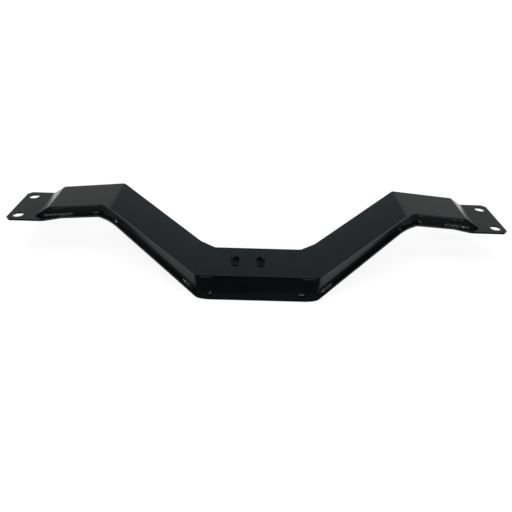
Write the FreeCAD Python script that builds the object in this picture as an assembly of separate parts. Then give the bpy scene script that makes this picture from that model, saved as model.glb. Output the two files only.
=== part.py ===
import FreeCAD
import Part
import math
import os

V = FreeCAD.Vector

# overall size, in millimetres
length = 914.0            # over both mounting flanges, 36 inches
half_length = length / 2.0
plate_t = 3.2             # every plate and web is the same sheet
sweep = 131.0             # how far the wings stand behind the middle pad
box_w = 81.0              # depth of the top plate, front to back
wing_y = sweep / 2.0      # centre line of the wings
pad_y = -sweep / 2.0      # centre line of the pad

# side profile of the bottom plate, taken on its upper surface
floor_top = plate_t
floor_fold_x = 91.0       # end of the flat middle
kink_reach = 197.0        # from each end inward to where the wing meets the arm
kink_low_x = half_length - kink_reach
kink_low_rise = 73.85
flange_fold_reach = 63.8  # from each end inward to where the wing meets the flange
flange_rise = 61.2
wing_slope = (kink_low_rise - flange_rise) / (kink_reach - flange_fold_reach)
flange_top = floor_top + flange_rise
floor_bend_r = 64.0
kink_bend_r = 58.0
flange_bend_r = 12.0

# side profile of the top plate, taken on its upper surface
pad_rise = 37.9
pad_top = floor_top + pad_rise
pad_fold_x = 103.0
kink_top_lead = 0.5       # the upper fold stands this far outside the lower one
kink_top_x = kink_low_x + kink_top_lead
kink_top_rise = 31.3
kink_top_z = flange_top + kink_top_rise
flange_reach = 79.0       # from each end inward to the top of the ramp
ramp_top_x = half_length - flange_reach
ramp_angle = math.radians(33.0)
pad_bend_r = 18.0
kink_top_r = 16.0
ramp_bend_r = 11.0
least_bend_r = 0.5

# plan outlines
plan_corner_r = 9.0
pad_front_corner_x = 102.0
wing_front_reach = 172.0  # from each end inward to the wing's front corner
wing_front_corner_x = half_length - wing_front_reach
sweep_angle = math.atan2(sweep, wing_front_corner_x - pad_front_corner_x)
floor_corner_r = 12.0
flange_half_w = 52.5
pad_ledge = 12.0          # how far the bottom plate stands out past the top one, at the pad
arm_ledge = 8.5
neck_half_w = 46.0
neck_reach = 99.0         # from each end inward to the narrow place
neck_x = half_length - neck_reach
shoulder_reach = 71.0
shoulder_x = half_length - shoulder_reach
flange_chamfer = 7.0
web_inset = 1.0
web_end_gap = 7.0         # the web stops short of the ramp's foot

# slots
flange_slot_reach = 17.0
flange_slot_x = half_length - flange_slot_reach
flange_slot_pitch = 71.0
flange_slot_w = 16.0
flange_slot_l = 19.0
mount_slot_w = 14.3
mount_slot_l = 29.0
mount_slot_pitch = 43.0
mount_slot_shift = -17.0
access_hole_w = 30.0
access_hole_l = 46.0

# lower stitches: each one's two ends, from the beam's end inward or from the middle outward
stitch_leg = 5.2
stitch_bulge = 3.3        # how far the bead's face stands out, both ways
weld_root = 1.2           # depth that a bead starts behind the faces it is cut back to
left_outer_stitches = [(67.0, 123.0), (157.0, 169.0), (204.0, 212.0)]
left_inner_stitches = [(107.0, 125.0), (74.0, 83.0)]
right_outer_stitches = [(69.0, 120.0), (159.0, 169.0), (205.0, 210.0)]
right_inner_stitches = [(103.0, 124.0), (67.0, 80.0)]

# upper stitches, in the corner under the top plate's edge
seam_reach = 2.0
seam_drop = 3.6
seam_bulge = 1.8
seam_outer_stitches = [(84.0, 106.0), (157.0, 169.0)]
seam_inner_stitches = [(73.0, 95.0)]

# welds across the feet of the ramps
end_weld_reach = 4.0

big = 400.0               # reach of cutting prisms past the part


# round the corners of an open chain of points, as edges
def rounded_chain(points, radii):
    edges = []
    start = points[0]
    for i in range(1, len(points) - 1):
        corner = points[i]
        r = radii[i - 1]
        back = (points[i - 1] - corner).normalize()
        ahead = (points[i + 1] - corner).normalize()
        half = back.getAngle(ahead) / 2.0
        if r <= 0.0:
            edges.append(Part.makeLine(start, corner))
            start = corner
            continue
        reach = r / math.tan(half)
        first = corner + back * reach
        last = corner + ahead * reach
        inward = (back + ahead).normalize()
        middle = corner + inward * (r / math.sin(half) - r)
        edges.append(Part.makeLine(start, first))
        edges.append(Part.Arc(first, middle, last).toShape())
        start = last
    edges.append(Part.makeLine(start, points[-1]))
    return edges


# where the line from p along angle a crosses the line from q along angle b
def crossing(p, a, q, b):
    ca, sa, cb, sb = math.cos(a), math.sin(a), math.cos(b), math.sin(b)
    span = ((q[0] - p[0]) * sb - (q[1] - p[1]) * cb) / (ca * sb - sa * cb)
    return (p[0] + span * ca, p[1] + span * sa)


# corner points of one side profile moved down by depth, square to each run
def lowered(points, depth):
    angles = []
    for a, b in zip(points[:-1], points[1:]):
        angles.append(math.atan2(b[1] - a[1], b[0] - a[0]))
    feet = []
    for p, ang in zip(points[:-1], angles):
        feet.append((p[0] + depth * math.sin(ang), p[1] - depth * math.cos(ang)))
    out = [feet[0]]
    for i in range(1, len(angles)):
        out.append(crossing(feet[i - 1], angles[i - 1], feet[i], angles[i]))
    last = points[-1]
    ang = angles[-1]
    out.append((last[0] + depth * math.sin(ang), last[1] - depth * math.cos(ang)))
    return out


# a half profile (from x = 0 outward) mirrored into a whole one
def whole(half_points):
    outer = half_points[1:]
    return [(-x, z) for x, z in reversed(outer)] + outer


def half_radii(radii):
    return list(reversed(radii)) + list(radii)


def as_xz(points):
    return [V(x, 0, z) for x, z in points]


# bottom plate: upper surface corners, from the middle outward
def floor_profile():
    kink_z = floor_top + kink_low_rise
    flange_x = half_length - flange_fold_reach
    return [
        (0.0, floor_top),
        (floor_fold_x, floor_top),
        (kink_low_x, kink_z),
        (flange_x, flange_top),
        (half_length, flange_top),
    ]


# top plate: upper surface corners, from the middle outward
def roof_profile():
    ramp_z = kink_top_z - wing_slope * (ramp_top_x - kink_top_x)
    drop = ramp_z - flange_top - plate_t * math.cos(ramp_angle)
    foot_x = ramp_top_x + drop / math.tan(ramp_angle)
    foot_z = flange_top + plate_t * math.cos(ramp_angle)
    return [
        (0.0, pad_top),
        (pad_fold_x, pad_top),
        (kink_top_x, kink_top_z),
        (ramp_top_x, ramp_z),
        (foot_x, foot_z),
    ]


# bend radii on the upper surface and on the surface one thickness below
def bend_radii(points, radii, depth):
    out = []
    for i in range(1, len(points) - 1):
        a, b, c = points[i - 1], points[i], points[i + 1]
        turn = (b[0] - a[0]) * (c[1] - b[1]) - (b[1] - a[1]) * (c[0] - b[0])
        out.append(radii[i - 1] + depth if turn > 0 else max(radii[i - 1] - depth, least_bend_r))
    return out


floor_radii = [floor_bend_r, kink_bend_r, flange_bend_r]
roof_radii = [pad_bend_r, kink_top_r, ramp_bend_r]


# a bent strip seen from the side, drawn out along Y
def bent_slab(half_points, radii):
    upper = whole(half_points)
    lower = whole(half_lower(half_points))
    low_r = bend_radii(half_points, radii, plate_t)
    top_edges = rounded_chain(as_xz(upper), half_radii(radii))
    low_edges = rounded_chain(as_xz(lower), half_radii(low_r))
    ends = [
        Part.makeLine(as_xz(upper)[0], as_xz(lower)[0]),
        Part.makeLine(as_xz(upper)[-1], as_xz(lower)[-1]),
    ]
    wire = Part.Wire(Part.__sortEdges__(top_edges + low_edges + ends))
    face = Part.Face(wire)
    face.translate(V(0, -big, 0))
    return face.extrude(V(0, 2 * big, 0))


# lower surface corners of a half profile, kept on the middle line at x = 0
def half_lower(half_points):
    low = lowered(half_points, plate_t)
    low[0] = (0.0, half_points[0][1] - plate_t)
    return low


# the space between the two plates, as a solid across Y
def gap_slab():
    roof = whole(half_lower(roof_profile()))
    floor = whole(floor_profile())
    low_r = bend_radii(roof_profile(), roof_radii, plate_t)
    top_edges = rounded_chain(as_xz(roof), half_radii(low_r))
    cut = roof[-1][0]
    floor_in = [p for p in floor if abs(p[0]) < cut]
    floor_in = [(-cut, flange_top)] + floor_in + [(cut, flange_top)]
    low_edges = rounded_chain(as_xz(floor_in), half_radii(floor_radii))
    wire = Part.Wire(Part.__sortEdges__(top_edges + low_edges))
    face = Part.Face(wire)
    face.translate(V(0, -big, 0))
    return face.extrude(V(0, 2 * big, 0))


# x of the four bends of the swept centre line's front edge, offset by d behind it
def plan_edge(d):
    shift = d * math.tan(sweep_angle / 2.0)
    front = pad_y - box_w / 2.0 + d
    rear = front + sweep
    inner = pad_front_corner_x - shift
    outer = inner + sweep / math.tan(sweep_angle)
    return [(inner, front), (outer, rear)]


# plan outline between two edges that lie d0 and d1 behind the front edge
def plan_band(d0, d1, end_x, corner_r):
    band = []
    for d in (d0, d1):
        (xi, yi), (xo, yo) = plan_edge(d)
        pts = [(-end_x, yo), (-xo, yo), (-xi, yi), (xi, yi), (xo, yo), (end_x, yo)]
        radii = [corner_r] * 4
        band.append(rounded_chain([V(x, y, 0) for x, y in pts], radii))
    y0 = plan_edge(d0)[1][1]
    y1 = plan_edge(d1)[1][1]
    ends = [
        Part.makeLine(V(-end_x, y0, 0), V(-end_x, y1, 0)),
        Part.makeLine(V(end_x, y0, 0), V(end_x, y1, 0)),
    ]
    wire = Part.Wire(Part.__sortEdges__(band[0] + band[1] + ends))
    face = Part.Face(wire)
    face.translate(V(0, 0, -big))
    return face.extrude(V(0, 0, 2 * big))


# an upright prism with round ends, longer along X or along Y
def slot_prism(x, y, size_x, size_y):
    r = min(size_x, size_y) / 2.0
    dx = size_x / 2.0 - r
    dy = size_y / 2.0 - r
    low = V(x - dx, y - dy, -big)
    high = V(x + dx, y + dy, -big)
    prism = Part.makeCylinder(r, 2 * big, low)
    prism = prism.fuse(Part.makeCylinder(r, 2 * big, high))
    if size_x > size_y:
        box = Part.makeBox(2 * dx, size_y, 2 * big, V(x - dx, y - r, -big))
    else:
        box = Part.makeBox(size_x, 2 * dy, 2 * big, V(x - r, y - dy, -big))
    return prism.fuse(box).removeSplitter()


def mount_slot_centres():
    half = mount_slot_pitch / 2.0
    return [mount_slot_shift - half, mount_slot_shift + half]


# the one solid left by a boolean
def solid_of(shape):
    shape = shape.removeSplitter()
    return shape.Solids[0] if len(shape.Solids) == 1 else shape


def top_plate():
    end_x = half_length
    plate = bent_slab(roof_profile(), roof_radii)
    plate = plate.common(plan_band(0.0, box_w, end_x, plan_corner_r))
    for x in mount_slot_centres():
        plate = plate.cut(slot_prism(x, pad_y, mount_slot_w, mount_slot_l))
    return solid_of(plate)


# plan outline of the bottom plate: pad, arms, neck and flange
def floor_outline():
    edges = []
    tips = []
    for sign in (-1.0, 1.0):
        middle = box_w / 2.0
        pad_line = plan_edge(middle + sign * (middle + pad_ledge))[0][1]
        arm_in, arm_out = plan_edge(middle + sign * (middle + arm_ledge))
        (xi, yi) = crossing(arm_in, sweep_angle, (0.0, pad_line), 0.0)
        (xo, yo) = arm_out
        neck_y = wing_y + sign * neck_half_w
        wide_y = wing_y + sign * flange_half_w
        c = flange_chamfer
        half = [
            (xi, yi),
            (xo, yo),
            (neck_x, neck_y),
            (shoulder_x, wide_y),
            (half_length - c, wide_y),
            (half_length, wide_y - sign * c),
        ]
        points = [V(-x, y, 0) for x, y in reversed(half)] + [V(x, y, 0) for x, y in half]
        r = floor_corner_r
        edges += rounded_chain(points, half_radii([r, r, r, r, 0.0]))
        tips.append((points[0], points[-1]))
    edges.append(Part.makeLine(tips[0][0], tips[1][0]))
    edges.append(Part.makeLine(tips[0][1], tips[1][1]))
    face = Part.Face(Part.Wire(Part.__sortEdges__(edges)))
    face.translate(V(0, 0, -big))
    return face.extrude(V(0, 0, 2 * big))


def bottom_plate():
    plate = bent_slab(floor_profile(), floor_radii)
    plate = plate.common(floor_outline())
    for side in (-1, 1):
        for end in (-1, 1):
            y = wing_y + end * flange_slot_pitch / 2.0
            x = side * flange_slot_x
            plate = plate.cut(slot_prism(x, y, flange_slot_l, flange_slot_w))
    for x in mount_slot_centres():
        plate = plate.cut(slot_prism(x, pad_y, access_hole_w, access_hole_l))
    return solid_of(plate)


# an upright strip bent in plan, cut to fit between the plates
def web(d0, d1):
    end_x = roof_profile()[-1][0] - web_end_gap
    strip = plan_band(d0, d1, end_x, plan_corner_r)
    return solid_of(strip.common(gap_slab()))


def front_web():
    return web(web_inset, web_inset + plate_t)


def rear_web():
    return web(box_w - web_inset - plate_t, box_w - web_inset)


# height of a half profile at x, on its straight runs
def height_at(points, x):
    for a, b in zip(points[:-1], points[1:]):
        if a[0] <= x <= b[0]:
            return a[1] + (b[1] - a[1]) * (x - a[0]) / (b[0] - a[0])
    return points[-1][1]


# y of a web's outer face at x
def face_y(x, d):
    (xi, yi), (xo, yo) = plan_edge(d)
    if x <= xi:
        return yi
    if x >= xo:
        return yo
    return yi + (yo - yi) * (x - xi) / (xo - xi)


# one fillet bead from a to b along a corner, its root sunk behind both faces
def bead(a, b, out, up, reach, rise, bulge):
    root = a - V(0, out * weld_root, up * weld_root)
    heel = a + V(0, -out * weld_root, up * rise)
    crest = a + V(0, 0, up * rise)
    middle = a + V(0, out * bulge, up * bulge)
    foot = a + V(0, out * reach, 0)
    toe = a + V(0, out * reach, -up * weld_root)
    edges = [
        Part.makeLine(root, heel),
        Part.makeLine(heel, crest),
        Part.Arc(crest, middle, foot).toShape(),
        Part.makeLine(foot, toe),
        Part.makeLine(toe, root),
    ]
    return Part.Face(Part.Wire(edges)).extrude(b - a)


# reaches of stitches along x, from their distances to the ends and to the middle
def left_spans(outer, inner):
    spans = [(a - half_length, b - half_length) for a, b in outer]
    return spans + [(-b, -a) for a, b in inner]


def right_spans(outer, inner):
    return [(half_length - b, half_length - a) for a, b in outer] + list(inner)


# a corner's place at x, where a web's outer face meets the height of a profile
def corner_at(x, d, profile):
    return V(x, face_y(abs(x), d), height_at(profile, abs(x)))


# all the beads of one long side, cut back to the plates that they join
def stitches(d, out, strip):
    low = strip.fuse(bottom_plate())
    high = strip.fuse(top_plate())
    floor = floor_profile()
    roof = half_lower(roof_profile())
    beads = []
    spans = left_spans(left_outer_stitches, left_inner_stitches)
    spans += right_spans(right_outer_stitches, right_inner_stitches)
    for x0, x1 in spans:
        a = corner_at(x0, d, floor)
        b = corner_at(x1, d, floor)
        body = bead(a, b, out, 1.0, stitch_leg, stitch_leg, stitch_bulge)
        beads.append(largest(body.cut(low)))
    spans = left_spans(seam_outer_stitches, seam_inner_stitches)
    spans += right_spans(seam_outer_stitches, seam_inner_stitches)
    for x0, x1 in spans:
        a = corner_at(x0, d, roof)
        b = corner_at(x1, d, roof)
        body = bead(a, b, out, -1.0, seam_reach, seam_drop, seam_bulge)
        beads.append(largest(body.cut(high)))
    return Part.makeCompound(beads)


def largest(shape):
    return max(shape.Solids, key=lambda solid: solid.Volume)


def front_welds():
    return stitches(web_inset, -1.0, front_web())


def rear_welds():
    return stitches(box_w - web_inset, 1.0, rear_web())


# fillet under the cut end of each ramp, across the box
def end_welds():
    foot_x, foot_z = roof_profile()[-1]
    low_x = foot_x - plate_t * math.sin(ramp_angle)
    beads = []
    for side in (-1, 1):
        y0 = wing_y - box_w / 2.0
        root = V(side * low_x, y0, flange_top)
        crest = V(side * foot_x, y0, foot_z)
        toe = V(side * (foot_x + end_weld_reach), y0, flange_top)
        outline = Part.Face(Part.makePolygon([root, toe, crest, root]))
        beads.append(outline.extrude(V(0, box_w, 0)))
    return Part.makeCompound(beads)


def main():
    os.makedirs("parts", exist_ok=True)
    top_plate().exportStep("parts/top_plate.step")
    bottom_plate().exportStep("parts/bottom_plate.step")
    front_web().exportStep("parts/front_web.step")
    rear_web().exportStep("parts/rear_web.step")
    front_welds().exportStep("parts/front_stitch_welds.step")
    rear_welds().exportStep("parts/rear_stitch_welds.step")
    end_welds().exportStep("parts/ramp_end_welds.step")


main()
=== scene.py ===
import logging
import math
from dataclasses import dataclass, field
from enum import Enum
from typing import Any, Callable, Sequence

import bpy
import numpy as np
from mathutils import Matrix, Vector


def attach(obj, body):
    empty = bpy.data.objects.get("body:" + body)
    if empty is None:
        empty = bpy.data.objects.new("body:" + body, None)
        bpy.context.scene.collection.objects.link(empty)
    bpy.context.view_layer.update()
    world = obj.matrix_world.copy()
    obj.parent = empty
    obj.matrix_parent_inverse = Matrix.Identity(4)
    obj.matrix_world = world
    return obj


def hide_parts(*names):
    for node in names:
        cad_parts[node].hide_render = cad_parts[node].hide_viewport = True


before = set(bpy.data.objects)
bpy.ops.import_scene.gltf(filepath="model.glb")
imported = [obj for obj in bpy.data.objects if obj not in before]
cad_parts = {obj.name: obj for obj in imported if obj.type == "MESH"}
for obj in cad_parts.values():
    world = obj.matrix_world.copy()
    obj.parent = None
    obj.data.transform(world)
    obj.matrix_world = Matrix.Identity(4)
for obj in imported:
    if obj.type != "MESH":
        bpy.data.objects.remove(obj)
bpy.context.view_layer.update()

LOG = logging.getLogger("crossmember")
MM = 0.001
Array = np.ndarray


# Small tools for outlines and meshes


def rounded(points: Sequence[tuple[float, float]], radii: Sequence[float], steps: int = 8) -> Array:
    """Round the inner corners of an open chain.

    Formula: each corner gives way to an arc that touches both runs, at a distance of the
    radius times the tangent of half the turn from the corner.

    Args:
        points: corner points of the chain.
        radii: one radius for each inner corner, 0 for a sharp one.
        steps: pieces in each arc.

    Returns:
        Points of the rounded chain, one row each.
    """
    chain = [np.array(points[0], float)]
    for before, corner, after, radius in zip(points[:-2], points[1:-1], points[2:], radii):
        c = np.array(corner, float)
        back = np.array(before, float) - c
        ahead = np.array(after, float) - c
        back /= np.linalg.norm(back)
        ahead /= np.linalg.norm(ahead)
        turn = math.pi - math.acos(float(np.clip(back @ ahead, -1.0, 1.0)))
        if radius <= 0.0 or turn < 1e-4:
            chain.append(c)
            continue
        inward = (back + ahead) / np.linalg.norm(back + ahead)
        centre = c + inward * radius / math.cos(turn / 2.0)
        first = c + back * radius * math.tan(turn / 2.0) - centre
        last = c + ahead * radius * math.tan(turn / 2.0) - centre
        share = np.linspace(0.0, 1.0, steps + 1)[:, None]
        arc = (np.sin((1.0 - share) * turn) * first + np.sin(share * turn) * last) / math.sin(turn)
        chain.extend(centre + arc)
    chain.append(np.array(points[-1], float))
    return np.array(chain)


def mirrored(half: Array) -> Array:
    """Mirror a half chain, given from the middle outward, to both sides of x = 0."""
    outer = half[half[:, 0] > 1e-9]
    left = outer[::-1] * np.array([-1.0, 1.0])
    return np.vstack([left, outer])


def heights(chain: Array) -> Callable[[Array], Array]:
    """Turn a chain of (x, value) into a function of x by straight interpolation."""
    return lambda x: np.interp(x, chain[:, 0], chain[:, 1])


def stations(low: float, high: float, chains: Sequence[Array], pitch: float) -> Array:
    """Choose the places along x at which a piece is cut into sections.

    Args:
        low: first place.
        high: last place.
        chains: chains whose own points are kept, so that no bend is cut short.
        pitch: longest distance between two sections.

    Returns:
        Rising x values.
    """
    marks = np.concatenate([np.array([low, high])] + [c[:, 0] for c in chains])
    marks = np.unique(np.round(marks[(marks >= low - 1e-9) & (marks <= high + 1e-9)], 6))
    keep = np.concatenate([[True], np.diff(marks) > 2e-4])
    marks = marks[keep]
    marks[-1] = high
    counts = np.maximum(1, np.ceil(np.diff(marks) / pitch).astype(int))
    parts = [np.linspace(a, b, n, endpoint=False) for a, b, n in zip(marks[:-1], marks[1:], counts)]
    return np.concatenate(parts + [np.array([high])])


def loft(name: str, rings: Array) -> bpy.types.Object:
    """Make a closed mesh from rings of points, each joined to the next.

    Args:
        name: name of the new object.
        rings: array of sections by ring points by 3, in metres.

    Returns:
        The new object, with its normals outward.
    """
    count, size, _ = rings.shape
    index = np.arange(count * size).reshape(count, size)
    after = np.roll(index, -1, axis=1)
    quads = np.stack([index[:-1], after[:-1], after[1:], index[1:]], axis=-1).reshape(-1, 4)
    faces = quads.tolist()
    faces.append(index[0][::-1].tolist())
    faces.append(index[-1].tolist())
    mesh = bpy.data.meshes.new(name)
    mesh.from_pydata(rings.reshape(-1, 3).tolist(), [], faces)
    mesh.update()
    if signed_volume(mesh) < 0.0:
        mesh.flip_normals()
    made = bpy.data.objects.new(name, mesh)
    bpy.context.scene.collection.objects.link(made)
    return made


def signed_volume(mesh: bpy.types.Mesh) -> float:
    """Volume enclosed by a mesh, which is below zero where its faces point inwards."""
    mesh.calc_loop_triangles()
    corners = np.empty(len(mesh.loop_triangles) * 3, np.int32)
    mesh.loop_triangles.foreach_get("vertices", corners)
    places = np.empty(len(mesh.vertices) * 3, np.float32)
    mesh.vertices.foreach_get("co", places)
    tri = places.reshape(-1, 3)[corners.reshape(-1, 3)].astype(float)
    return float(np.einsum("ij,ij->i", tri[:, 0], np.cross(tri[:, 1], tri[:, 2])).sum() / 6.0)


def cut_through(target: bpy.types.Object, cutters: Sequence[bpy.types.Object]) -> None:
    """Cut other meshes out of one, keep the result as its mesh, and remove the cutters."""
    for cutter in cutters:
        step = target.modifiers.new("slot", "BOOLEAN")
        step.operation = "DIFFERENCE"
        step.solver = "EXACT"
        step.object = cutter
    graph = bpy.context.evaluated_depsgraph_get()
    result = bpy.data.meshes.new_from_object(target.evaluated_get(graph))
    target.modifiers.clear()
    old = target.data
    target.data = result
    bpy.data.meshes.remove(old)
    result.name = target.name
    for cutter in cutters:
        bpy.data.objects.remove(cutter)


def soften(piece: bpy.types.Object, width: float) -> None:
    """Round a piece's sheared edges by a bevel of this width, and shade it smooth."""
    piece.data.shade_smooth()
    edge = piece.modifiers.new("edge", "BEVEL")
    edge.width = width
    edge.segments = 3
    edge.limit_method = "ANGLE"
    edge.angle_limit = math.radians(38.0)
    edge.harden_normals = True
    edge.miter_outer = "MITER_ARC"
    edge.use_clamp_overlap = True


# The shared outline of the beam


@dataclass(frozen=True)
class Outline:
    """Sizes that the pieces share, all in metres, and the curves that follow from them."""

    half_length: float = 457.0 * MM
    sheet: float = 3.2 * MM
    sweep: float = 131.0 * MM
    box_depth: float = 81.0 * MM
    pad_front_corner: float = 102.0 * MM
    wing_front_corner: float = 285.0 * MM
    plan_radius: float = 9.0 * MM
    floor_fold: float = 91.0 * MM
    kink_low: float = 260.0 * MM
    kink_low_rise: float = 73.85 * MM
    flange_fold: float = 393.2 * MM
    flange_rise: float = 61.2 * MM
    pad_rise: float = 37.9 * MM
    pad_fold: float = 103.0 * MM
    kink_top: float = 260.5 * MM
    kink_top_rise: float = 31.3 * MM
    ramp_top: float = 378.0 * MM
    ramp_angle: float = math.radians(33.0)
    floor_radii: tuple[float, ...] = (64.0 * MM, 58.0 * MM, 12.0 * MM)
    roof_radii: tuple[float, ...] = (18.0 * MM, 16.0 * MM, 11.0 * MM)

    @property
    def flange_top(self) -> float:
        """Height of the flanges' upper faces."""
        return self.sheet + self.flange_rise

    @property
    def wing_slope(self) -> float:
        """Fall of the wings for each unit outward."""
        return (self.kink_low_rise - self.flange_rise) / (self.flange_fold - self.kink_low)

    def plan_corners(self, depth: float) -> list[tuple[float, float]]:
        """Give the two bends, in plan, of a line that lies a depth behind the beam's front edge."""
        angle = math.atan2(self.sweep, self.wing_front_corner - self.pad_front_corner)
        inner = self.pad_front_corner - depth * math.tan(angle / 2.0)
        front = -self.sweep / 2.0 - self.box_depth / 2.0 + depth
        return [(inner, front), (inner + self.sweep / math.tan(angle), front + self.sweep)]

    def plan_chain(self, depth: float, end: float, radius: float) -> Array:
        """Give the whole plan line at a depth behind the front edge, with its bends rounded."""
        (xi, yi), (xo, yo) = self.plan_corners(depth)
        half = rounded([(0.0, yi), (xi, yi), (xo, yo), (end, yo)], [radius, radius])
        return mirrored(half)

    def floor_corners(self) -> list[tuple[float, float]]:
        """Give the bends of the bottom plate's upper face, seen from the side."""
        return [
            (0.0, self.sheet),
            (self.floor_fold, self.sheet),
            (self.kink_low, self.sheet + self.kink_low_rise),
            (self.flange_fold, self.flange_top),
            (self.half_length, self.flange_top),
        ]

    def roof_corners(self) -> list[tuple[float, float]]:
        """Give the bends of the top plate's upper face, seen from the side."""
        top = self.flange_top + self.kink_top_rise
        ramp = top - self.wing_slope * (self.ramp_top - self.kink_top)
        foot = self.flange_top + self.sheet * math.cos(self.ramp_angle)
        return [
            (0.0, self.sheet + self.pad_rise),
            (self.pad_fold, self.sheet + self.pad_rise),
            (self.kink_top, top),
            (self.ramp_top, ramp),
            (self.ramp_top + (ramp - foot) / math.tan(self.ramp_angle), foot),
        ]

    def bent(self, corners: list[tuple[float, float]], radii: Sequence[float]) -> tuple[Array, Array]:
        """Give a bent sheet's upper and lower lines, seen from the side.

        Formula: the lower line is the upper one moved by the sheet's thickness along its own
        downward normal, which is its direction turned by a quarter.

        Returns:
            Two whole chains of (x, z) with matching points.
        """
        upper = mirrored(rounded(corners, radii, 12))
        fine = stations(upper[0, 0], upper[-1, 0], [upper], 8.0 * MM)
        z = np.interp(fine, upper[:, 0], upper[:, 1])
        run = np.gradient(np.stack([fine, z], axis=1), axis=0)
        run[0] = [fine[1] - fine[0], z[1] - z[0]]
        run[-1] = [fine[-1] - fine[-2], z[-1] - z[-2]]
        run /= np.linalg.norm(run, axis=1)[:, None]
        down = np.stack([run[:, 1], -run[:, 0]], axis=1)
        top = np.stack([fine, z], axis=1)
        return top, top + down * self.sheet

    def floor_lines(self) -> tuple[Array, Array]:
        """Upper and lower lines of the bottom plate."""
        return self.bent(self.floor_corners(), self.floor_radii)

    def roof_lines(self) -> tuple[Array, Array]:
        """Upper and lower lines of the top plate."""
        return self.bent(self.roof_corners(), self.roof_radii)


OUTLINE = Outline()


# Shader maths and finishes


class Value:
    """A shader number that takes part in Python sums: each operator adds one Math node."""

    def __init__(self, tree: "Tree", socket: Any) -> None:
        """Keep the tree and the socket, or the plain number."""
        self.tree = tree
        self.socket = socket

    def _math(self, operation: str, *others: Any) -> "Value":
        """Add a Math node of this operation on this value and others."""
        inputs = {i: other for i, other in enumerate((self, *others))}
        return self.tree.node("ShaderNodeMath", {"operation": operation}, inputs)

    def __add__(self, other: Any) -> "Value":
        """Sum."""
        return self._math("ADD", other)

    def __sub__(self, other: Any) -> "Value":
        """Difference."""
        return self._math("SUBTRACT", other)

    def __mul__(self, other: Any) -> "Value":
        """Product."""
        return self._math("MULTIPLY", other)

    def __rsub__(self, other: Any) -> "Value":
        """Difference from a plain number."""
        return Value(self.tree, other)._math("SUBTRACT", self)

    __radd__ = __add__
    __rmul__ = __mul__

    def clamped(self) -> "Value":
        """Keep the value between 0 and 1."""
        return self._math("MINIMUM", 1.0)._math("MAXIMUM", 0.0)

    def step(self, low: float, high: float) -> "Value":
        """Rise smoothly from 0 at low to 1 at high."""
        settings = {"interpolation_type": "SMOOTHSTEP"}
        inputs = {"Value": self, "From Min": low, "From Max": high, "To Min": 0.0, "To Max": 1.0}
        return self.tree.node("ShaderNodeMapRange", settings, inputs)


class Tree:
    """A node tree under construction."""

    def __init__(self, owner: Any) -> None:
        """Empty the owner's node tree and keep it."""
        owner.use_nodes = True
        self.nodes = owner.node_tree.nodes
        self.links = owner.node_tree.links
        self.nodes.clear()

    def node(self, kind: str, settings: dict[str, Any], inputs: dict[Any, Any], out: Any = 0) -> Value:
        """Add a node.

        Args:
            kind: Blender's type name of the node.
            settings: its properties, or "stops" for a ramp's list of (place, colour).
            inputs: sockets by name or number, each given a number, a tuple or a Value.
            out: name or number of the socket to return.

        Returns:
            The chosen output as a Value.
        """
        made = self.nodes.new(kind)
        for name, setting in settings.items():
            if name == "stops":
                self._stops(made.color_ramp, setting)
            else:
                setattr(made, name, setting)
        for key, given in inputs.items():
            socket = made.inputs[key]
            if isinstance(given, Value) and isinstance(given.socket, bpy.types.NodeSocket):
                self.links.new(given.socket, socket)
            else:
                socket.default_value = given.socket if isinstance(given, Value) else given
        return Value(self, made.outputs[out] if made.outputs else None)

    @staticmethod
    def _stops(ramp: Any, stops: Sequence[tuple[float, tuple[float, float, float]]]) -> None:
        """Set a ramp's stops from places and colours."""
        while len(ramp.elements) > 1:
            ramp.elements.remove(ramp.elements[-1])
        ramp.elements[0].position = stops[0][0]
        ramp.elements[0].color = (*stops[0][1], 1.0)
        for place, colour in stops[1:]:
            ramp.elements.new(place).color = (*colour, 1.0)

    def noise(self, place: Value, scale: float, detail: float = 2.0, roughness: float = 0.5) -> Value:
        """Noise between 0 and 1, with this many waves to the metre."""
        inputs = {"Vector": place, "Scale": scale, "Detail": detail, "Roughness": roughness}
        return self.node("ShaderNodeTexNoise", {"noise_dimensions": "3D"}, inputs)


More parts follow.
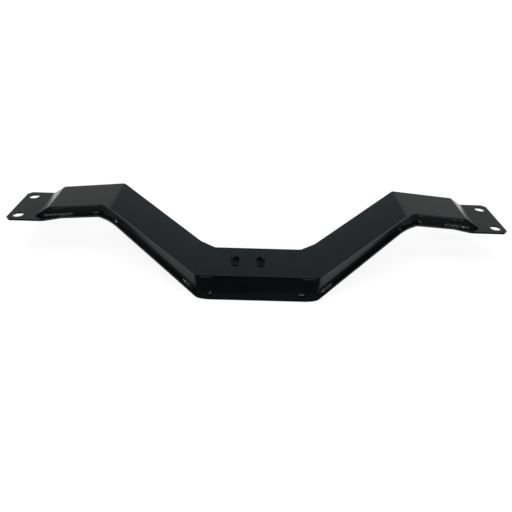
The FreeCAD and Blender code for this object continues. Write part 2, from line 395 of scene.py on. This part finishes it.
@dataclass(frozen=True)
class BlackCoat:
    """Semi-gloss black powder coat on sheet steel."""

    name: str = "black_coat"
    colour: tuple[float, float, float] = (0.0012, 0.0021, 0.0027)
    colour_sway: float = 0.18
    rough: float = 0.24
    rough_sway: float = 0.05
    cloud_waves: float = 22.0
    patch_waves: float = 140.0
    peel_waves: float = 620.0
    peel_depth: float = 0.000012
    grain_waves: float = 2600.0
    grain_depth: float = 0.0000025
    warp_waves: float = 16.0
    warp_depth: float = 0.0
    warp_stretch: float = 1.0
    lean: float = 0.0

    def material(self) -> bpy.types.Material:
        """Make the coat: faint cloudiness in colour and gloss, orange peel, grain and warp.

        Formula: the bump's height is the sum of the peel, the grain and the sheet's warp, less
        the place's own height times the lean, which turns an upright face's shading upward.

        Returns:
            The new material.
        """
        made = bpy.data.materials.new(self.name)
        tree = Tree(made)
        place = tree.node("ShaderNodeTexCoord", {}, {}, "Object")
        cloud = tree.noise(place, self.cloud_waves, 3.0)
        patch = tree.noise(place, self.patch_waves, 2.0)
        peel = tree.noise(place, self.peel_waves, 2.0)
        grain = tree.noise(place, self.grain_waves, 1.0)
        long = tree.node(
            "ShaderNodeMapping", {}, {"Vector": place, "Scale": (1.0, 1.0, self.warp_stretch)}
        )
        warp = tree.noise(long, self.warp_waves, 1.0)
        rise = tree.node("ShaderNodeSeparateXYZ", {}, {"Vector": place}, "Z")
        height = peel * self.peel_depth + grain * self.grain_depth + warp * self.warp_depth
        height = height - rise * self.lean
        bump = tree.node("ShaderNodeBump", {}, {"Strength": 1.0, "Distance": 1.0, "Height": height})
        dark = tuple(c * (1.0 - self.colour_sway) for c in self.colour)
        light = tuple(c * (1.0 + self.colour_sway) for c in self.colour)
        colour = tree.node(
            "ShaderNodeMix",
            {"data_type": "RGBA"},
            {"Factor": cloud.step(0.3, 0.7), 6: (*dark, 1.0), 7: (*light, 1.0)},
            2,
        )
        sway = self.rough_sway
        rough = self.rough + (cloud - 0.5) * sway + (patch - 0.5) * sway
        inputs = {"Base Color": colour, "Roughness": rough, "Normal": bump, "IOR": 1.5}
        shader = tree.node("ShaderNodeBsdfPrincipled", {}, inputs)
        tree.node("ShaderNodeOutputMaterial", {}, {"Surface": shader})
        return made


@dataclass(frozen=True)
class CoatedWeld:
    """The same coat where it has run thick and glossy over a rough weld bead."""

    name: str = "coated_weld"
    colour: tuple[float, float, float] = (0.006, 0.0065, 0.007)
    dark_share: float = 0.7
    light_share: float = 1.5
    rough: float = 0.16
    rough_sway: float = 0.2
    pit_waves: float = 900.0
    pit_depth: float = 0.00015
    lump_waves: float = 380.0
    lump_depth: float = 0.001

    def material(self) -> bpy.types.Material:
        """Make the coat on a bead: glossier, with fine pits between the ripples.

        Returns:
            The new material.
        """
        made = bpy.data.materials.new(self.name)
        tree = Tree(made)
        place = tree.node("ShaderNodeTexCoord", {}, {}, "Object")
        pits = tree.noise(place, self.pit_waves, 3.0, 0.6)
        lumps = tree.noise(place, self.lump_waves, 2.0)
        height = pits * self.pit_depth + lumps * self.lump_depth
        bump = tree.node("ShaderNodeBump", {}, {"Strength": 1.0, "Distance": 1.0, "Height": height})
        dark = tuple(c * self.dark_share for c in self.colour)
        light = tuple(c * self.light_share for c in self.colour)
        colour = tree.node(
            "ShaderNodeMix",
            {"data_type": "RGBA"},
            {"Factor": pits.step(0.3, 0.7), 6: (*dark, 1.0), 7: (*light, 1.0)},
            2,
        )
        rough = self.rough + (lumps - 0.5) * self.rough_sway
        inputs = {"Base Color": colour, "Roughness": rough, "Normal": bump, "IOR": 1.5}
        shader = tree.node("ShaderNodeBsdfPrincipled", {}, inputs)
        tree.node("ShaderNodeOutputMaterial", {}, {"Surface": shader})
        return made


class Slot(Enum):
    """Material slots of the record."""

    COAT = "black_coat"
    WELD = "coated_weld"


@dataclass
class Finishes:
    """The finishes, each made once and then shared."""

    flat: BlackCoat = field(default_factory=BlackCoat)
    web: BlackCoat = field(
        default_factory=lambda: BlackCoat(
            name="black_coat_web", rough=0.3, warp_depth=0.0009, warp_stretch=0.35, lean=0.2
        )
    )
    weld: CoatedWeld = field(default_factory=CoatedWeld)
    made: dict[str, bpy.types.Material] = field(default_factory=dict)

    def dress(self, piece: bpy.types.Object, finish: BlackCoat | CoatedWeld) -> None:
        """Give a piece its finish, whose material is made once and then shared."""
        if finish.name not in self.made:
            self.made[finish.name] = finish.material()
        piece.data.materials.clear()
        piece.data.materials.append(self.made[finish.name])


# Plates


@dataclass
class RoundEndedHole:
    """An upright cutter with round ends, all sizes in metres."""

    x: float
    y: float
    size_x: float
    size_y: float

    def cutter(self) -> bpy.types.Object:
        """Make the cutter.

        Formula: a circle of half the lesser size, drawn apart along the longer one.

        Returns:
            A closed upright prism that reaches past every plate.
        """
        radius = min(self.size_x, self.size_y) / 2.0
        angle = np.linspace(0.0, 2.0 * math.pi, 48, endpoint=False) + math.pi / 48.0
        x = self.x + radius * np.cos(angle) + (self.size_x / 2.0 - radius) * np.sign(np.cos(angle))
        y = self.y + radius * np.sin(angle) + (self.size_y / 2.0 - radius) * np.sign(np.sin(angle))
        low = np.stack([x, y, np.full_like(x, -0.05)], axis=1)
        high = np.stack([x, y, np.full_like(x, 0.15)], axis=1)
        return loft("cutter", np.stack([low, high]))


@dataclass
class BentPlate:
    """A bent sheet between two plan lines, with slots."""

    name: str
    lines: tuple[Array, Array]
    front: Array
    rear: Array
    holes: list[RoundEndedHole]
    rows: int = 10
    edge: float = 0.35 * MM

    def build(self) -> bpy.types.Object:
        """Make the plate.

        Formula: at each place along x the section runs over the upper line from the front
        edge to the rear one, and back under the lower line. The plan edges are read at each
        point's own x, so that both faces end on the same upright cut.

        Returns:
            The new object.
        """
        upper, lower = self.lines
        extra = stations(upper[0, 0], upper[-1, 0], [upper, self.front, self.rear], 9.0 * MM)
        low_x = np.interp(extra, upper[:, 0], lower[:, 0])
        up_z = np.interp(extra, upper[:, 0], upper[:, 1])
        low_z = np.interp(extra, upper[:, 0], lower[:, 1])
        share = np.linspace(0.0, 1.0, self.rows + 1)
        rings = np.concatenate(
            [self._face(extra, up_z, share), self._face(low_x, low_z, share[::-1])], axis=1
        )
        plate = loft(self.name, rings)
        if self.holes:
            cut_through(plate, [hole.cutter() for hole in self.holes])
        soften(plate, self.edge)
        return plate

    def _face(self, x: Array, z: Array, share: Array) -> Array:
        """Lay out the points of one face, section by section."""
        y0 = heights(self.front)(x)[:, None]
        y1 = heights(self.rear)(x)[:, None]
        y = y0 + (y1 - y0) * share[None, :]
        wide = np.ones_like(y)
        return np.stack([x[:, None] * wide, y, z[:, None] * wide], axis=-1)


@dataclass
class TopPlate:
    """The swept upper strip with its pad, arms, wings and ramps."""

    slot_width: float = 14.3 * MM
    slot_length: float = 29.0 * MM
    slot_pitch: float = 43.0 * MM
    slot_shift: float = -17.0 * MM

    def slot_centres(self) -> list[float]:
        """Give the x of both slots."""
        return [self.slot_shift - self.slot_pitch / 2.0, self.slot_shift + self.slot_pitch / 2.0]

    def build(self, finishes: Finishes) -> bpy.types.Object:
        """Build and dress the plate, which stands for its CAD node."""
        o = OUTLINE
        end = o.half_length
        y = -o.sweep / 2.0
        holes = [RoundEndedHole(x, y, self.slot_width, self.slot_length) for x in self.slot_centres()]
        front = o.plan_chain(0.0, end, o.plan_radius)
        rear = o.plan_chain(o.box_depth, end, o.plan_radius)
        plate = BentPlate("swept_top", o.roof_lines(), front, rear, holes).build()
        finishes.dress(plate, finishes.flat)
        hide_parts("top_plate")
        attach(plate, "root")
        return plate


@dataclass
class BottomPlate:
    """The lower strip, wider than the box, which carries on as the two slotted flanges."""

    pad_ledge: float = 12.0 * MM
    arm_ledge: float = 8.5 * MM
    flange_half: float = 52.5 * MM
    neck_half: float = 46.0 * MM
    neck: float = 358.0 * MM
    shoulder: float = 386.0 * MM
    chamfer: float = 7.0 * MM
    corner_radius: float = 12.0 * MM
    slot: float = 440.0 * MM
    slot_pitch: float = 71.0 * MM
    slot_width: float = 16.0 * MM
    slot_length: float = 19.0 * MM
    access_width: float = 30.0 * MM
    access_length: float = 46.0 * MM
    edge: float = 0.8 * MM

    def edge_line(self, sign: float) -> Array:
        """Give one long edge in plan: pad, arm, neck, flange and its chamfer.

        Args:
            sign: -1 for the front edge and 1 for the rear one.

        Returns:
            The whole chain of (x, y).
        """
        o = OUTLINE
        wing = o.sweep / 2.0
        middle = o.box_depth / 2.0
        yi = o.plan_corners(middle + sign * (middle + self.pad_ledge))[0][1]
        inner, (xo, yo) = o.plan_corners(middle + sign * (middle + self.arm_ledge))
        xi = inner[0] + (yi - inner[1]) * (xo - inner[0]) / (yo - inner[1])
        wide = wing + sign * self.flange_half
        points = [
            (0.0, yi),
            (xi, yi),
            (xo, yo),
            (self.neck, wing + sign * self.neck_half),
            (self.shoulder, wide),
            (o.half_length - self.chamfer, wide),
            (o.half_length, wide - sign * self.chamfer),
        ]
        r = self.corner_radius
        return mirrored(rounded(points, [r, r, r, r, 0.0]))

    def holes(self, access: list[float]) -> list[RoundEndedHole]:
        """Give the flange slots and the holes that reach the nuts of the pad's slots."""
        o = OUTLINE
        wing = o.sweep / 2.0
        found = [RoundEndedHole(x, -wing, self.access_width, self.access_length) for x in access]
        for side in (-1.0, 1.0):
            for end in (-1.0, 1.0):
                y = wing + end * self.slot_pitch / 2.0
                found.append(RoundEndedHole(side * self.slot, y, self.slot_length, self.slot_width))
        return found

    def build(self, finishes: Finishes, access: list[float]) -> bpy.types.Object:
        """Build and dress the plate, which stands for its CAD node."""
        o = OUTLINE
        front = self.edge_line(-1.0)
        rear = self.edge_line(1.0)
        holes = self.holes(access)
        plate = BentPlate("bottom_and_flanges", o.floor_lines(), front, rear, holes, 12, self.edge)
        made = plate.build()
        finishes.dress(made, finishes.flat)
        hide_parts("bottom_plate")
        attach(made, "root")
        return made


@dataclass
class Web:
    """One upright strip of the box, bent in plan to follow the sweep."""

    name: str
    node: str
    outer_depth: float
    inner_depth: float
    end_gap: float = 7.0 * MM
    rows: int = 4

    def build(self, finishes: Finishes) -> bpy.types.Object:
        """Build and dress the web, which stands for its CAD node.

        Formula: at each x the section is an upright strip from the bottom plate's upper line
        to the top plate's lower line, between two plan lines one sheet apart.

        Returns:
            The new object.
        """
        o = OUTLINE
        end = o.roof_corners()[-1][0] - self.end_gap
        floor = o.floor_lines()[0]
        roof = o.roof_lines()[1]
        outer = o.plan_chain(self.outer_depth, end, o.plan_radius)
        inner = o.plan_chain(self.inner_depth, end, o.plan_radius)
        x = stations(-end, end, [floor, roof, outer, inner], 9.0 * MM)
        low = heights(floor)(x)[:, None]
        high = heights(roof)(x)[:, None]
        share = np.linspace(0.0, 1.0, self.rows + 1)[None, :]
        rise = low + (high - low) * share
        wide = np.ones_like(rise)
        out_y = heights(outer)(x)[:, None] * wide
        in_y = heights(inner)(x)[:, None] * wide
        along = x[:, None] * wide
        outside = np.stack([along, out_y, rise], axis=-1)
        inside = np.stack([along, in_y, rise], axis=-1)[:, ::-1]
        web = loft(self.name, np.concatenate([outside, inside], axis=1))
        web.data.shade_smooth()
        web.data.set_sharp_from_angle(angle=math.radians(40.0))
        finishes.dress(web, finishes.web)
        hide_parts(self.node)
        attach(web, "root")
        return web


# Welds


@dataclass
class Bead:
    """One stitch of weld along a corner: its place and its sizes, in metres."""

    start: float
    stop: float
    reach: float
    rise: float
    upward: float = 1.0
    fullness: float = 0.32
    ripple_pitch: float = 3.6 * MM
    ripple: float = 0.2
    ring_pitch: float = 0.45 * MM
    root_depth: float = 0.4 * MM

    def surface(
        self, corner: Callable[[Array], Array], out: Callable[[Array], Array], seed: int
    ) -> Array:
        """Work out the bead as rings along its length.

        Formula: with u along the bead and a the angle from the ledge up to the web, a point
        stands from the corner by reach times cos a outward and rise times sin a upward, both
        divided by (cos a + sin a) to the power of the fullness, times a size that falls to
        nothing at both ends as a quarter circle and swells at each ripple, whose crest lags
        at the edges as the pool froze.

        Args:
            corner: the corner's place at each x.
            out: the direction away from the web, in plan, at each x.
            seed: seed of this bead's own unevenness.

        Returns:
            Array of rings by ring points by 3.
        """
        rng = np.random.default_rng(seed)
        length = abs(self.stop - self.start)
        count = max(24, int(length / self.ring_pitch))
        u = np.linspace(0.0, 1.0, count)
        x = self.start + (self.stop - self.start) * u
        angle = np.linspace(0.0, math.pi / 2.0, 13)
        run = (u * length)[:, None]
        lag = 0.45 * (np.cos(2.0 * (angle - math.pi / 4.0)) - 1.0)[None, :]
        phase = run / self.ripple_pitch + lag + rng.uniform(0.0, 1.0)
        share = phase - np.floor(phase)
        dime = np.sqrt(np.clip(1.0 - (1.7 * share - 0.7) ** 2, 0.0, 1.0))
        knots = np.linspace(0.0, 1.0, max(4, int(length / (4.0 * MM))))
        sway = np.interp(u, knots, rng.uniform(-0.1, 0.1, knots.size))[:, None]
        tip = np.minimum(1.0, np.minimum(run, length - run) / (0.65 * self.reach))
        cap = np.sqrt(np.clip(1.0 - (1.0 - tip) ** 2, 0.0, 1.0))
        swell = 2.0 * self.ripple * dime * np.sin(2.0 * angle)[None, :]
        size = cap * (1.0 - self.ripple + swell + sway)
        size = np.clip(size, 0.02, 1.12) / (np.cos(angle) + np.sin(angle))[None, :] ** self.fullness
        root = corner(x)[:, None, :]
        side = out(x)[:, None, :]
        lift = np.array([0.0, 0.0, self.upward])
        shell = root + side * (self.reach * size * np.cos(angle)[None, :])[..., None]
        shell = shell + lift * (self.rise * size * np.sin(angle)[None, :])[..., None]
        sunk = root - side * self.root_depth - lift * self.root_depth
        toe = shell[:, :1] - lift * self.root_depth
        heel = shell[:, -1:] - side * self.root_depth
        return np.concatenate([sunk, toe, shell, heel], axis=1)


def joined(name: str, sheets: Sequence[Array]) -> bpy.types.Object:
    """Join several lofted bodies into one object.

    Args:
        name: name of the new object.
        sheets: rings of each body.

    Returns:
        The new object, shaded smooth.
    """
    places: list[list[float]] = []
    faces: list[list[int]] = []
    for number, rings in enumerate(sheets):
        body = loft(f"{name}_{number}", rings)
        base = len(places)
        flat = np.empty(len(body.data.vertices) * 3, np.float32)
        body.data.vertices.foreach_get("co", flat)
        places.extend(flat.reshape(-1, 3).tolist())
        faces.extend([[base + v for v in face.vertices] for face in body.data.polygons])
        mesh = body.data
        bpy.data.objects.remove(body)
        bpy.data.meshes.remove(mesh)
    mesh = bpy.data.meshes.new(name)
    mesh.from_pydata(places, [], faces)
    mesh.update()
    mesh.shade_smooth()
    made = bpy.data.objects.new(name, mesh)
    bpy.context.scene.collection.objects.link(made)
    return made


@dataclass
class StitchRow:
    """All the stitches of one long side: below on the ledge, above under the top plate's edge.

    The three lists give each stitch's two ends along x, in millimetres. The seam's are the same
    on both sides of the middle.
    """

    name: str
    node: str
    depth: float
    outward: float
    leg: float = 5.2 * MM
    leg_reach: float = 1.3
    leg_rise: float = 1.2
    seam_reach: float = 2.0 * MM
    seam_drop: float = 3.6 * MM
    seam_ripple_pitch: float = 2.8 * MM
    left: tuple[tuple[float, float], ...] = (
        (-390.0, -334.0), (-300.0, -288.0), (-253.0, -245.0), (-125.0, -107.0), (-83.0, -74.0),
    )
    right: tuple[tuple[float, float], ...] = (
        (337.0, 388.0), (288.0, 298.0), (247.0, 252.0), (103.0, 124.0), (67.0, 80.0),
    )
    seam: tuple[tuple[float, float], ...] = ((351.0, 373.0), (288.0, 300.0), (73.0, 95.0))

    def corner(self, line: Array) -> Callable[[Array], Array]:
        """Give the place of the corner between the web's outer face and a side line."""
        plan = OUTLINE.plan_chain(self.depth, OUTLINE.half_length, OUTLINE.plan_radius)
        return lambda x: np.stack([x, heights(plan)(x), heights(line)(x)], axis=1)

    def away(self) -> Callable[[Array], Array]:
        """Give the direction square to the web's outer face, in plan."""
        plan = OUTLINE.plan_chain(self.depth, OUTLINE.half_length, OUTLINE.plan_radius)
        value = heights(plan)

        def direction(x: Array) -> Array:
            """Turn the plan line's slope at x, taken over 2 mm, by a quarter."""
            slope = (value(x + MM) - value(x - MM)) / (2.0 * MM)
            flat = np.stack([-slope * self.outward, np.full_like(x, self.outward), 0.0 * x], axis=1)
            return flat / np.linalg.norm(flat, axis=1)[:, None]

        return direction

    def build(self, finishes: Finishes) -> bpy.types.Object:
        """Build and dress the row, which stands for its CAD node."""
        floor = self.corner(OUTLINE.floor_lines()[0])
        roof = self.corner(OUTLINE.roof_lines()[1])
        out = self.away()
        sheets = []
        for number, (a, b) in enumerate((*self.left, *self.right)):
            bead = Bead(a * MM, b * MM, self.leg * self.leg_reach, self.leg * self.leg_rise)
            sheets.append(bead.surface(floor, out, 11 + number))
        seams = [(-b, -a) for a, b in self.seam] + list(self.seam)
        for number, (a, b) in enumerate(seams):
            bead = Bead(
                a * MM,
                b * MM,
                self.seam_reach,
                self.seam_drop,
                upward=-1.0,
                ripple_pitch=self.seam_ripple_pitch,
            )
            sheets.append(bead.surface(roof, out, 51 + number))
        row = joined(self.name, sheets)
        finishes.dress(row, finishes.weld)
        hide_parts(self.node)
        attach(row, "root")
        return row


@dataclass
class RampWelds:
    """The two low fillets that close the ends of the box at the ramps' feet."""

    reach: float = 3.6 * MM
    end_gap: float = 0.3 * MM
    root_depth: float = 0.3 * MM
    overlap: float = 0.2 * MM
    crown: float = 0.25 * MM
    ripple_pitch: float = 3.4 * MM
    ripple_height: float = 0.12 * MM
    sections: int = 180

    def build(self, finishes: Finishes) -> bpy.types.Object:
        """Build and dress both fillets.

        Formula: each is a solid fillet from the ramp's lower edge to the flange, carried along
        Y, whose reach sways a little and whose crown rises at each ripple. With t from the toe
        to the ramp, its height follows t to the power of 1.3 plus the crown's half sine.

        Returns:
            The new object, which stands for its CAD node.
        """
        o = OUTLINE
        foot_x, foot_z = o.roof_corners()[-1]
        low_x = foot_x - o.sheet * math.sin(o.ramp_angle)
        y0 = o.sweep / 2.0 - o.box_depth / 2.0
        y = np.linspace(y0 + self.end_gap, y0 + o.box_depth - self.end_gap, self.sections)
        sheets = []
        for side, seed in ((-1.0, 5), (1.0, 6)):
            rng = np.random.default_rng(seed)
            sway = np.interp(y, np.linspace(y[0], y[-1], 19), rng.uniform(-0.5, 0.3, 19)) * MM
            ripple = self.ripple_height * np.abs(np.sin(math.pi * (y - y0) / self.ripple_pitch))
            toe = foot_x + self.reach + sway
            t = np.linspace(0.0, 1.0, 9)[None, :]
            x = toe[:, None] + (foot_x + self.overlap - toe[:, None]) * t
            z = o.flange_top + (foot_z - o.flange_top) * t**1.3
            z = z + (ripple[:, None] + self.crown) * np.sin(math.pi * t)
            wide = np.ones_like(x)
            shell = np.stack([x * side, y[:, None] * wide, np.minimum(z, foot_z) * wide], axis=-1)
            level = np.full_like(y, o.flange_top - self.root_depth)
            root = np.stack([np.full_like(y, low_x * side), y, level], axis=1)
            toe_low = shell[:, :1] - np.array([0.0, 0.0, self.root_depth])
            sheets.append(np.concatenate([root[:, None, :], toe_low, shell], axis=1))
        welds = joined("ramp_foot_welds", sheets)
        finishes.dress(welds, finishes.flat)
        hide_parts("ramp_end_welds")
        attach(welds, "root")
        return welds


# Studio


@dataclass(frozen=True)
class Studio:
    """Camera, floor, light and surroundings.

    The back levels give the grey of the surroundings at each height of the direction seen.
    """

    eye: tuple[float, float, float] = (-0.0132, -0.6601, 0.4732)
    tilt: float = 0.615
    yaw: float = 0.016
    roll: float = 0.037
    focal_pixels: float = 434.0
    frame_pixels: float = 512.0
    floor_half: float = 30.0
    floor_drop: float = 0.5 * MM
    floor_glow: float = 0.88
    floor_shade: float = 0.16
    floor_bounce: float = 0.8
    card_half: float = 3.0
    card_front: float = -2.5
    card_back: float = 0.02
    card_notch_half: float = 0.13
    card_notch_back: float = -0.07
    # Greys of the reflection-only card: painted shade in front of and under the middle, painted
    # reflection of a paler floor for the arms and the middle's foot.
    card_shade_grey: float = 0.008
    foot_reflection_grey: float = 0.04
    side_reflection_grey: float = 0.85
    side_boxes: float = 0.9
    front: tuple[float, float, float] = (0.08, 0.085, 0.09)
    cool: tuple[float, float, float] = (0.87, 1.0, 1.06)
    plain: tuple[float, float, float] = (0.985, 1.0, 0.99)
    cool_from: float = 0.5
    back_levels: tuple[tuple[float, float], ...] = (
        (0.0, 0.16),
        (0.22, 0.22),
        (0.33, 0.47),
        (0.38, 0.45),
        (0.44, 0.42),
        (0.5, 0.31),
        (0.53, 0.27),
        (0.59, 0.215),
        (1.0, 0.19),
    )

    def camera(self) -> bpy.types.Object:
        """Set up the camera from its place, its tilt below the horizon, its yaw and its roll.

        Returns:
            The camera.
        """
        cy, sy = math.cos(self.yaw), math.sin(self.yaw)
        ct, st = math.cos(self.tilt), math.sin(self.tilt)
        cr, sr = math.cos(self.roll), math.sin(self.roll)
        ahead = Vector((sy * ct, cy * ct, -st))
        level = Vector((cy, -sy, 0.0))
        upright = level.cross(ahead)
        right = level * cr + upright * sr
        up = upright * cr - level * sr
        data = bpy.data.cameras.new("camera")
        data.sensor_width = 36.0
        data.lens = data.sensor_width * self.focal_pixels / self.frame_pixels
        data.clip_start = 0.01
        data.clip_end = 200.0
        made = bpy.data.objects.new("camera", data)
        turn = Matrix((right, up, -ahead)).transposed().to_4x4()
        made.matrix_world = Matrix.Translation(Vector(self.eye)) @ turn
        bpy.context.scene.collection.objects.link(made)
        bpy.context.scene.camera = made
        return made

    def floor(self) -> bpy.types.Object:
        """Lay a pale floor that shows white and keeps a soft shadow.

        Returns:
            The floor.
        """
        h = self.floor_half
        mesh = bpy.data.meshes.new("floor")
        places = [(-h, -h), (h, -h), (h, h), (-h, h)]
        mesh.from_pydata([(x, y, -self.floor_drop) for x, y in places], [], [(0, 1, 2, 3)])
        made = bpy.data.objects.new("floor", mesh)
        bpy.context.scene.collection.objects.link(made)
        material = bpy.data.materials.new("pale_floor")
        tree = Tree(material)
        seen = tree.node("ShaderNodeLightPath", {}, {}, "Is Camera Ray")
        mirrored_ray = tree.node("ShaderNodeLightPath", {}, {}, "Is Glossy Ray")
        bounce = (*[self.floor_bounce] * 3, 1.0)
        plain = tree.node("ShaderNodeBsdfDiffuse", {}, {"Color": bounce})
        bright = {"Color": (1.0, 1.0, 1.0, 1.0), "Strength": self.floor_glow}
        glow = tree.node("ShaderNodeEmission", {}, bright)
        shade = (*[self.floor_shade] * 3, 1.0)
        shaded = tree.node("ShaderNodeBsdfDiffuse", {}, {"Color": shade})
        white = tree.node("ShaderNodeAddShader", {}, {0: glow, 1: shaded})
        either = (seen + mirrored_ray).clamped()
        shown = tree.node("ShaderNodeMixShader", {}, {0: either, 1: plain, 2: white})
        tree.node("ShaderNodeOutputMaterial", {}, {"Surface": shown})
        mesh.materials.append(material)
        return made

    def painted_reflection_card(self) -> bpy.types.Object:
        """Lay a card in front, seen only in reflections, whose greys are painted shade and painted
        reflection.

        Formula: its grey is low in front of the flat middle and far out, a painted shade in the
        reflections, a little lighter next to the middle's foot, and raised near the object where x
        squared is large, a painted reflection that makes the arms' fronts mirror a paler floor than
        the middle does.

        Returns:
            The card.
        """
        z = -self.floor_drop + 0.2 * MM
        outline = [
            (self.card_half, self.card_front),
            (self.card_half, self.card_back),
            (self.card_notch_half, self.card_back),
            (self.card_notch_half, self.card_notch_back),
        ]
        outline += [(-x, y) for x, y in reversed(outline)]
        mesh = bpy.data.meshes.new("painted_reflection_card")
        mesh.from_pydata([(x, y, z) for x, y in outline], [], [tuple(range(len(outline)))])
        made = bpy.data.objects.new("painted_reflection_card", mesh)
        bpy.context.scene.collection.objects.link(made)
        material = bpy.data.materials.new("painted_shade_and_reflection")
        tree = Tree(material)
        place = tree.node("ShaderNodeTexCoord", {}, {}, "Object")
        x = tree.node("ShaderNodeSeparateXYZ", {}, {"Vector": place}, "X")
        y = tree.node("ShaderNodeSeparateXYZ", {}, {"Vector": place}, "Y")
        square = x * x
        # Painted reflection: the side and foot greys set how bright the webs mirror; the low base grey
        # is painted shade.
        side = square.step(0.012, 0.03) * (1.0 - square.step(0.17, 0.21)) * y.step(-0.22, -0.13)
        grey = y.step(-0.2, -0.1) * self.foot_reflection_grey + side * self.side_reflection_grey
        grey = grey + self.card_shade_grey
        dark = tree.node("ShaderNodeBsdfDiffuse", {}, {"Color": grey})
        tree.node("ShaderNodeOutputMaterial", {}, {"Surface": dark})
        mesh.materials.append(material)
        made.visible_camera = False
        made.visible_diffuse = False
        made.visible_shadow = False
        return made

    def lamp(
        self, name: str, energy: float, spread: float, toward: tuple[float, float, float]
    ) -> bpy.types.Object:
        """Hang a far lamp whose light is even over the whole object.

        Args:
            name: the lamp's name.
            energy: its strength.
            spread: how wide it looks from the object, in degrees.
            toward: the direction in which it hangs.

        Returns:
            The lamp.
        """
        data = bpy.data.lights.new(name, "SUN")
        data.energy = energy
        data.angle = math.radians(spread)
        made = bpy.data.objects.new(name, data)
        made.matrix_world = Vector(toward).to_track_quat("Z", "Y").to_matrix().to_4x4()
        bpy.context.scene.collection.objects.link(made)
        return made

    def surroundings(self) -> None:
        """Set the room: white where the camera sees it, and a dim studio elsewhere.

        Formula: a grey that falls with height at the back, a dark one in front, and two soft
        boxes at the sides, where x squared is large and the height is low.
        """
        scene = bpy.context.scene
        world = bpy.data.worlds.new("studio")
        scene.world = world
        tree = Tree(world)
        way = tree.node("ShaderNodeTexCoord", {}, {}, "Generated")
        x = tree.node("ShaderNodeSeparateXYZ", {}, {"Vector": way}, "X")
        y = tree.node("ShaderNodeSeparateXYZ", {}, {"Vector": way}, "Y")
        z = tree.node("ShaderNodeSeparateXYZ", {}, {"Vector": way}, "Z")
        stops = []
        for at, grey in self.back_levels:
            tint = self.cool if at >= self.cool_from else self.plain
            stops.append((at, tuple(grey * part for part in tint)))
        back = tree.node("ShaderNodeValToRGB", {"stops": stops}, {"Fac": z})
        turn = y.step(-0.3, 0.5)
        level = tree.node(
            "ShaderNodeMix",
            {"data_type": "RGBA"},
            {"Factor": turn, 6: (*self.front, 1.0), 7: back},
            2,
        )
        sides = (x * x).step(0.5, 0.7) * (1.0 - z.step(0.3, 0.55)) * self.side_boxes
        level = tree.node(
            "ShaderNodeMix",
            {"data_type": "RGBA", "blend_type": "ADD"},
            {"Factor": 1.0, 6: level, 7: sides},
            2,
        )
        seen = tree.node("ShaderNodeLightPath", {}, {}, "Is Camera Ray")
        shown = tree.node(
            "ShaderNodeMix",
            {"data_type": "RGBA"},
            {"Factor": seen, 6: level, 7: (1.0, 1.0, 1.0, 1.0)},
            2,
        )
        light = tree.node("ShaderNodeBackground", {}, {"Color": shown, "Strength": 1.0})
        tree.node("ShaderNodeOutputWorld", {}, {"Surface": light})
        scene.view_settings.view_transform = "Standard"


def main() -> None:
    """Build the pieces in order and report each."""
    logging.basicConfig(level=logging.INFO, format="%(message)s")
    finishes = Finishes()
    top = TopPlate()
    inset = 1.0 * MM
    sheet = OUTLINE.sheet
    depth = OUTLINE.box_depth
    made = [
        top.build(finishes),
        BottomPlate().build(finishes, top.slot_centres()),
        Web("front_strip", "front_web", inset, inset + sheet).build(finishes),
        Web("rear_strip", "rear_web", depth - inset, depth - inset - sheet).build(finishes),
        StitchRow("front_stitches", "front_stitch_welds", inset, -1.0).build(finishes),
        StitchRow("rear_stitches", "rear_stitch_welds", depth - inset, 1.0).build(finishes),
        RampWelds().build(finishes),
    ]
    for piece in made:
        LOG.info("%s: %d faces", piece.name, len(piece.data.polygons))
    studio = Studio()
    studio.camera()
    studio.floor()
    studio.painted_reflection_card()
    studio.lamp("sky_panel", energy=1.6, spread=56.0, toward=(-0.1, 0.04, 1.0))
    studio.lamp("key", energy=1.3, spread=11.0, toward=(0.22, -0.76, 0.6))
    studio.surroundings()


if __name__ == "__main__":
    main()
